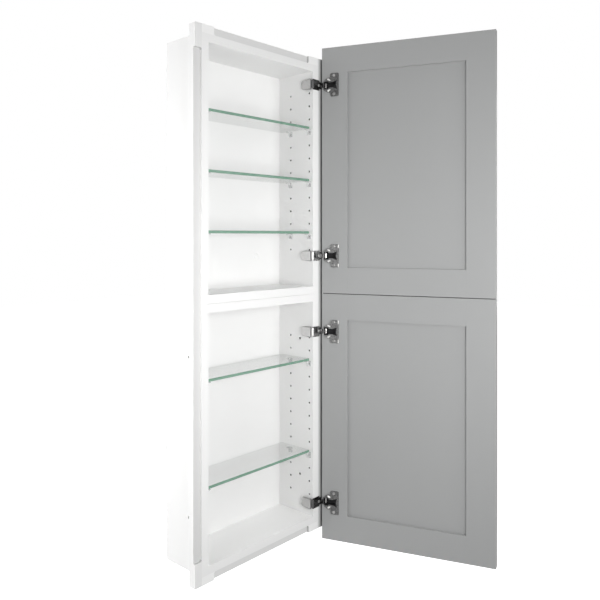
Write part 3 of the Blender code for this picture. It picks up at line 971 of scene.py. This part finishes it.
@dataclass
class CabinetBox:
    """The box, its divider and back, the face strips and the cap over a fixing screw."""

    boards: tuple[str, ...] = ("side_left", "box_top", "divider_lower", "back_panel")
    level_boards: tuple[str, ...] = ("box_bottom", "divider_upper")
    drilled: str = "side_right"
    pulled: str = "face_left"
    pulled_ends: tuple[str, ...] = ("face_top", "face_bottom")
    corner: str = "face_right"
    pull_skin: float = 0.0005
    pull_depth: float = 0.006
    strip_share: float = -0.045
    # Painted light: the top and bottom strips get a lighter tone to make up for light falling off
    # towards the cabinet's ends.
    end_strip_light_share: float = 0.06
    cap_place: Span = (0.0816, 0.6608)
    cap_radius: float = 0.0072
    cap_height: float = 0.0024
    cap_sides: int = 32
    cap_profile: tuple[Span, ...] = (
        (0.0, 1.0), (0.3, 0.97), (0.58, 0.86), (0.8, 0.66),
        (0.94, 0.38), (1.0, 0.16), (1.0, 0.0), (0.0, 0.0),
    )

    def dress(self, nodes: Nodes, paint: SprayedPaint, plain: Material) -> None:
        """Paints the boards, with painted light on the level boards' upper faces, the drilled side
        with painted shade in its holes, and the strips with painted shade in their finger pulls
        and beside the doors and painted light on the top and bottom ones.

        Args:
            nodes: The CAD nodes by name.
            paint: The paint's tone and gloss.
            plain: The same paint as a material.
        """
        tone, roughness, skin = paint.tone, paint.roughness, self.pull_skin
        strip_tone = shade(tone, self.strip_share)
        end_light_tone = shade(tone, self.end_strip_light_share)
        low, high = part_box(self.drilled)
        bottom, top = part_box("face_bottom")[0].z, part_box("face_top")[1].z
        inner, outer = (corner.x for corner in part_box(self.corner))
        drilled = HoleShadedPaint(
            "hole_shaded_board_paint", tone, roughness, low=tuple(low), high=tuple(high)
        )
        pulled = PulledPaint(
            "face_strip_shaded_paint",
            strip_tone,
            roughness,
            low=(skin - outer, low.y + skin, bottom + skin),
            high=(outer - skin, low.y + self.pull_depth + skin, top - skin),
        )
        pulled_end = replace(pulled, name="end_strip_lit_paint", tone=end_light_tone)
        level = TopLitBoardPaint("top_lit_board_paint", tone, roughness)
        corner = CornerShadowPaint("corner_strip_shadow_paint", strip_tone, roughness, inner=inner, outer=outer)
        for names, finish in (
            (self.boards, plain),
            (self.level_boards, level.material()),
            ((self.drilled,), drilled.material()),
            ((self.pulled,), pulled.material()),
            (self.pulled_ends, pulled_end.material()),
            ((self.corner,), corner.material()),
        ):
            for name in names:
                dress_node(nodes[name], finish)

    def build_cap(self, finish: Material) -> None:
        """Presses a domed cap onto the back panel's front.

        Args:
            finish: The cap's material.
        """
        x, z = self.cap_place
        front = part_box("back_panel")[0].y
        rings = []
        for share, rise in self.cap_profile:
            count = self.cap_sides if share else 1
            turns = [math.tau * step / count for step in range(count)]
            y, reach = front - rise * self.cap_height, share * self.cap_radius
            ring = [(x + reach * math.cos(turn), y, z + reach * math.sin(turn)) for turn in turns]
            rings.append(ring)
        name = "back_panel_screw_cap"
        add_piece(name, lofted(name, rings), finish, Body.CABINET)


@dataclass
class GlassShelves:
    """Five glass shelves with ground edges, and the clear pins they rest on."""

    shelves: tuple[str, ...] = (
        "shelf_upper_1", "shelf_upper_2", "shelf_upper_3",
        "shelf_lower_1", "shelf_lower_2",
    )
    corner: float = 0.003
    arris: float = 0.0007
    corner_steps: int = 5

    def outline(self, low: Vector, high: Vector, z: float, inset: float) -> list[Triple]:
        """Draws a shelf's rounded outline.

        Args:
            low: The shelf's lowest corner.
            high: Its highest corner.
            z: The outline's height.
            inset: How far inside the edge the outline runs.

        Returns:
            Its points, anticlockwise from above.
        """
        reach = self.corner - inset
        left, right = low.x + self.corner, high.x - self.corner
        front, rear = low.y + self.corner, high.y - self.corner
        centres = ((right, rear), (left, rear), (left, front), (right, front))
        points = []
        for quarter, (x, y) in enumerate(centres):
            for step in range(self.corner_steps + 1):
                turn = math.tau / 4.0 * (quarter + step / self.corner_steps)
                points.append((x + reach * math.cos(turn), y + reach * math.sin(turn), z))
        return points

    def build(self, glass: Material) -> None:
        """Makes each shelf as a pane with a small ground bevel on every edge.

        Args:
            glass: The panes' material.
        """
        for name in self.shelves:
            low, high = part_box(name)
            levels = (
                (low.z, self.arris),
                (low.z + self.arris, 0.0),
                (high.z - self.arris, 0.0),
                (high.z, self.arris),
            )
            rings = [self.outline(low, high, z, inset) for z, inset in levels]
            pane = name.replace("shelf", "glass")
            piece = add_piece(pane, lofted(pane, rings), glass, Body.CABINET)
            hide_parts(name)

    def dress_pins(self, nodes: Nodes, plastic: Material) -> None:
        """Gives the pins under the shelves their clear plastic.

        Args:
            nodes: The CAD nodes by name.
            plastic: The pins' material.
        """
        for name, node in nodes.items():
            if "_pin_" in name:
                dress_node(node, plastic)


@dataclass
class Door:
    """One framed door."""

    body: Body
    hinges: tuple[int, int]
    members: tuple[str, ...] = ("stile_hinge", "stile_free", "rail_top", "rail_bottom", "panel")

    def dress(self, nodes: Nodes, paint: Material) -> None:
        """Paints the door's frame and panel."""
        for member in self.members:
            dress_node(nodes[f"{self.body.value}_{member}"], paint)


@dataclass(frozen=True)
class DoorSwing:
    """Turns places measured on a closed door, from its pivot, to where the open door has them."""

    pivot: Vector
    angle: float

    def facing(self) -> Vector:
        """Returns the open door's inner direction."""
        return Matrix.Rotation(self.angle, 3, "Z") @ Vector((0.0, 1.0, 0.0))

    def place(self, along: float, out: float, height: float) -> Vector:
        """Finds a point of the open door.

        Args:
            along: Distance from the pivot towards the door's hinge edge.
            out: Distance from the pivot out of the door's inner face.
            height: The point's own height.

        Returns:
            The point in the cabinet's frame.
        """
        turned = Matrix.Rotation(self.angle, 3, "Z") @ Vector((along, out, 0.0))
        return Vector((self.pivot.x + turned.x, self.pivot.y + turned.y, height))


@dataclass(frozen=True)
class JointShadeBead:
    """A dark bead under the upper door's lower edge, which fills the joint between the doors with
    painted shade.

    Places are measured from the pivot, as DoorSwing takes them.
    """

    swing: DoorSwing
    name: str = "upper_door_joint_shade_bead"
    span: Span = (-0.4067, 0.0063)
    middle: float = 0.0008
    half_depth: float = 0.0045
    sunk: float = 0.0003
    drop: float = 0.0015
    shoulder: float = 0.0006
    flat_share: float = 0.7

    def build(self, finish: Material) -> None:
        """Draws the bead's section at both ends of the edge and joins them.

        Args:
            finish: The bead's material.
        """
        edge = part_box("upper_door_rail_bottom")[0].z
        wide, flat = self.half_depth, self.half_depth * self.flat_share
        half = ((flat, -self.drop), (wide, -self.shoulder), (wide, self.sunk))
        section = [(-out, up) for out, up in reversed(half)] + list(half)
        rings = [
            [self.swing.place(along, self.middle + out, edge + up) for out, up in section]
            for along in self.span
        ]
        mesh = lofted(self.name, rings)
        add_piece(self.name, mesh, finish, Body.UPPER_DOOR)


@dataclass
class HingeHardware:
    """The four concealed hinges: their plating, screws, rolled lips, pocket beads and folds.

    Places on a cup are (along, up) from its centre, along running to the door's hinge edge. The
    paths of beads add how far each point is sunk into the cup's face, so that they clear the arm.
    """

    doors: tuple[Door, Door]
    swing: DoorSwing
    middle_hinges: tuple[int, int] = (2, 3)
    end_hinges: tuple[int, int] = (1, 4)
    # Painted shade: how much darker the end hinges' copies of each plating are.
    base_end_shading: float = -0.2
    arm_end_shading: float = -0.62
    cup_end_shading: float = -0.45
    cup_back: float = 0.0122
    face_out: float = 0.0083
    wing_screw: Span = (-0.0114, 0.0228)
    first_turn: float = 0.4
    hinge_turn: float = 0.7
    side_turn: float = 0.3
    plate_screw_back: float = 0.0167
    plate_screw_out: float = 0.0087
    plate_screw_turn: float = 0.5
    lip_radius: float = 0.0009
    lip: tuple[Triple, ...] = ((-0.0227, 0.0184, 0.0002), (-0.0227, 0.0280, 0.0002))
    bead_radius: float = 0.0026
    bead: tuple[Triple, ...] = (
        (0.0060, 0.0146, 0.0011),
        (0.0032, 0.0140, 0.0011),
        (0.0012, 0.0127, 0.0016),
        (-0.0010, 0.0115, 0.0024),
        (-0.0048, 0.0106, 0.0024),
    )
    fold_radius: float = 0.0022
    fold_back: float = 0.0390
    fold_out: float = 0.0095
    fold_half: float = 0.0108
    fold_spread: float = 0.0012

    def height(self, number: int) -> float:
        """Returns the height of a hinge's middle."""
        low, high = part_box(f"hinge_{number}_cup")
        return (low.z + high.z) / 2.0

    def heights(self) -> tuple[float, ...]:
        """Returns the heights of all the hinges' middles, from the top down."""
        return tuple(self.height(number) for door in self.doors for number in door.hinges)

    def on_cup(self, number: int, along: float, up: float, sink: float) -> Vector:
        """Returns a point on a cup's face, sunk a little into it."""
        height = self.height(number) + up
        return self.swing.place(along - self.cup_back, self.face_out - sink, height)

    def platings(self) -> tuple[tuple[str, PlatedSteel, float], ...]:
        """Lists the hinges' kinds of piece.

        Returns:
            Each kind's name, its plating, and how much darker, as painted shade, that is on the
            end hinges.
        """
        pivot, facing = self.swing.pivot, self.swing.facing()
        level = self.swing.place(0.0, self.face_out, 0.0).dot(facing)
        return (
            ("base", CastCoverSteel(heights=self.heights()), self.base_end_shading),
            ("arm", WrappedArmSteel(axis=(pivot.x, pivot.y)), self.arm_end_shading),
            ("cup", HollowCupSteel(facing=tuple(facing), level=level), self.cup_end_shading),
        )

    def dress(self, nodes: Nodes) -> None:
        """Plates the hinges' pieces, those of the end hinges in a darker copy that is painted
        shade.

        Args:
            nodes: The CAD nodes by name.
        """
        for piece, plating, end_shading in self.platings():
            # Painted shade: each end hinge's plating is a darker copy of the middle hinges'.
            tone = shade(plating.tone, end_shading)
            end_shaded = replace(plating, name="shaded_end_" + plating.name, tone=tone)
            for numbers, kind in ((self.middle_hinges, plating), (self.end_hinges, end_shaded)):
                finish = kind.material()
                for number in numbers:
                    dress_node(nodes[f"hinge_{number}_{piece}"], finish)

    def build_screws(self, finish: Material) -> None:
        """Puts two screws on each cup and one on each arm's front plate.

        Args:
            finish: The screws' material.
        """
        heads = PanHeadScrews()
        tree = heads.tree()
        facing = self.swing.facing()
        along, up = self.wing_screw
        for door in self.doors:
            seats = []
            for number in door.hinges:
                for side in (-1, 1):
                    turn = self.first_turn + self.hinge_turn * number + self.side_turn * side
                    place = self.on_cup(number, along, side * up, 0.0)
                    seats.append(ScrewSeat(place, facing, turn))
            name = f"{door.body.value}_cup_screws"
            tree.run(name, heads.seats(seats), heads.sizes(), finish, door.body)
        x = self.swing.pivot.x - self.plate_screw_back
        y = self.swing.pivot.y + self.plate_screw_out
        forward = Vector((0.0, -1.0, 0.0))
        seats = [
            ScrewSeat(Vector((x, y, height)), forward, self.plate_screw_turn * index)
            for index, height in enumerate(self.heights())
        ]
        tree.run("arm_screws", heads.seats(seats), heads.sizes(), finish, Body.CABINET)

    def build_beads(self, plating: PlatedSteel) -> None:
        """Rolls the lips on the cups' wings, the beads beside their pockets and the arms' folds.

        Args:
            plating: The bright plating, which the lips and folds have only on the middle hinges;
                on the end hinges they get a darker tone of painted shade.
        """
        heights = self.heights()
        bright = plating.material()
        # Painted shade: the lips and folds of the end hinges get a darker tone.
        end_shaded = EndShadedSteel(
            "trim_nickel_with_end_shade",
            plating.tone,
            plating.roughness,
            metal=plating.metal,
            middle=sum(heights) / len(heights),
        ).material()
        kinds = (
            ("lips", RolledBeads(self.lip_radius), self.lip, end_shaded),
            ("beads", RolledBeads(self.bead_radius), self.bead, bright),
        )
        folds = RolledBeads(self.fold_radius)
        tree = folds.tree()
        for door in self.doors:
            for kind, rolled, line, finish in kinds:
                lines = [
                    [self.on_cup(number, along, side * up, sink) for along, up, sink in line]
                    for number in door.hinges
                    for side in (-1, 1)
                ]
                name = f"{door.body.value}_cup_{kind}"
                tree.run(name, rolled.paths(lines), rolled.sizes(), finish, door.body)
        x, y = self.swing.pivot.x - self.fold_back, self.swing.pivot.y + self.fold_out
        lines = [
            [Vector((x + across, y, height + up)) for up in (-self.fold_half, self.fold_half)]
            for height in heights
            for across in (-self.fold_spread, self.fold_spread)
        ]
        tree.run("arm_folds", folds.paths(lines), folds.sizes(), end_shaded, Body.CABINET)


@dataclass(frozen=True)
class SoftLight:
    """One soft rectangular lamp."""

    name: str
    place: Triple
    aim: Triple
    size: Span
    power: float
    mirrored: bool = True
    spread: float = 180.0

    def build(self) -> None:
        """Hangs the lamp and points it."""
        lamp = bpy.data.lights.new(self.name, "AREA")
        lamp.shape = "RECTANGLE"
        lamp.size, lamp.size_y = self.size
        lamp.energy = self.power
        lamp.spread = math.radians(self.spread)
        holder = bpy.data.objects.new(self.name, lamp)
        holder.visible_glossy = self.mirrored
        holder.location = self.place
        direction = Vector(self.aim) - Vector(self.place)
        holder.rotation_euler = direction.to_track_quat("-Z", "Y").to_euler()
        bpy.context.scene.collection.objects.link(holder)


@dataclass
class Studio:
    """White room, soft lamps and the photograph's viewpoint."""

    lights: tuple[SoftLight, ...]
    ambient: float = 0.16
    gloss: float = 0.3
    glow: float = 0.88
    floor_z: float = -0.9
    floor_half: float = 14.0
    floor_cells: int = 8
    floor_grain: float = 0.35
    floor_tones: tuple[Colour, Colour] = ((0.86, 0.86, 0.86), (0.90, 0.90, 0.90))
    eye: Triple = (-1.04281, -1.08676, 0.71034)
    turn: float = -48.32
    lens: float = 39.585
    sensor: float = 36.0
    shift: Span = (-0.0184, -0.10652)

    def build_world(self) -> None:
        """Lights the room evenly and leaves its walls white to the eye."""
        world = bpy.data.worlds.new("white_room")
        world.use_nodes = True
        graph = NodeGraph(world.node_tree)
        graph.tree.nodes.clear()
        strength = self.ambient + (1.0 - self.ambient) * self.direct(graph)
        sockets = {"Color": (1.0, 1.0, 1.0, 1.0), "Strength": strength}
        shader = graph.signal("ShaderNodeBackground", None, sockets)
        graph.node("ShaderNodeOutputWorld", None, {"Surface": shader})
        bpy.context.scene.world = world

    def direct(self, graph: NodeGraph) -> Signal:
        """Tells what is looked at from what only lights the room.

        Args:
            graph: The nodes of the world or of the floor's material.

        Returns:
            1 for what is seen straight on or through glass, less for what is mirrored, else 0.
        """
        path = graph.node("ShaderNodeLightPath")
        kinds = ("Is Camera Ray", "Is Glossy Ray", "Is Transmission Ray")
        camera, glossy, through = (Signal(graph, path.outputs[kind]) for kind in kinds)
        return graph.maths("MINIMUM", camera + self.gloss * glossy + through, 1.0)

    def build_floor(self) -> None:
        """Lays a pale floor well below the cabinet, which keeps its shadow."""
        graph = ShaderGraph("pale_floor")
        tone = graph.mix(graph.noise(self.floor_grain, detail=3.0), *self.floor_tones)
        lit = graph.signal("ShaderNodeBsdfDiffuse", None, {"Color": tone})
        glow = graph.signal("ShaderNodeEmission", None, {"Strength": self.glow})
        bright = graph.signal("ShaderNodeAddShader", None, {0: lit, 1: glow})
        sockets = {0: self.direct(graph), 1: lit, 2: bright}
        blend = graph.signal("ShaderNodeMixShader", None, sockets)
        graph.node("ShaderNodeOutputMaterial", None, {"Surface": blend})
        shape = bmesh.new()
        cells = self.floor_cells
        bmesh.ops.create_grid(shape, x_segments=cells, y_segments=cells, size=self.floor_half)
        shape.transform(Matrix.Translation((0.0, 0.0, self.floor_z)))
        mesh = finished_mesh("floor", shape)
        mesh.materials.append(graph.material)
        floor = bpy.data.objects.new("floor", mesh)
        bpy.context.scene.collection.objects.link(floor)

    def build_camera(self) -> None:
        """Sets the camera where the photograph was taken from."""
        camera = bpy.data.cameras.new("viewpoint")
        camera.lens = self.lens
        camera.sensor_width = self.sensor
        camera.shift_x, camera.shift_y = self.shift
        holder = bpy.data.objects.new("viewpoint", camera)
        holder.location = self.eye
        holder.rotation_euler = (math.radians(90.0), 0.0, math.radians(self.turn))
        bpy.context.scene.collection.objects.link(holder)
        bpy.context.scene.camera = holder

    def build(self) -> None:
        """Sets up the room, the lamps and the camera."""
        bpy.context.scene.view_settings.view_transform = "Standard"
        self.build_world()
        self.build_floor()
        self.build_camera()
        for light in self.lights:
            light.build()
            LOG.info("%s: %.1f W", light.name, light.power)


STUDIO_LIGHTS = (
    SoftLight("key", (-0.43, -1.15, 0.60), (0.05, 0.0, 0.58), (0.45, 0.5), 6.9, spread=145.0),
    SoftLight("front", (0.30, -1.55, 0.95), (0.0, 0.0, 0.60), (0.6, 1.2), 6.5),
    SoftLight(
        "door_side", (-0.80, -0.05, 0.60), (0.25, -0.20, 0.58), (0.35, 0.5), 2.6, mirrored=False
    ),
    SoftLight("side_rim", (-0.72, 0.50, 0.57), (-0.18, 0.03, 0.57), (0.2, 2.8), 9.0),
    SoftLight("overhead", (0.05, 0.25, 2.5), (0.05, 0.05, 1.1), (0.6, 0.4), 10.0),
    SoftLight("right_fill", (2.1, 0.6, 0.9), (0.2, 0.0, 0.55), (1.2, 1.2), 30.0),
)


def main() -> None:
    """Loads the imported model, builds and dresses every sub-assembly, and sets up the studio."""
    logging.basicConfig(level=logging.INFO, format="%(name)s: %(message)s")
    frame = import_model()
    nodes: Nodes = frame["nodes"]
    hinge_axis = frame["joints"][0]
    swing = DoorSwing(Vector(hinge_axis["pos_m"]), math.radians(-hinge_axis["range_deg"][0]))

    box = CabinetBox()
    white = WHITE_PAINT.material()
    box.dress(nodes, WHITE_PAINT, white)
    box.build_cap(white)
    shelves = GlassShelves()
    shelves.build(GreenEdgedGlass(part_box("shelf_upper_1")[0].y).material())
    shelves.dress_pins(nodes, CLEAR_PLASTIC.material())
    doors = (Door(Body.UPPER_DOOR, (1, 2)), Door(Body.LOWER_DOOR, (3, 4)))
    grey = GREY_PAINT.material()
    for door in doors:
        door.dress(nodes, grey)
    # Painted shade: a dark bead in the joint between the doors.
    JointShadeBead(swing).build(JOINT_SHADE_PAINT.material())
    hinges = HingeHardware(doors, swing)
    hinges.dress(nodes)
    hinges.build_screws(SCREW_NICKEL.material())
    hinges.build_beads(GLINT_NICKEL)
    Studio(STUDIO_LIGHTS).build()


if __name__ == "__main__":
    main()
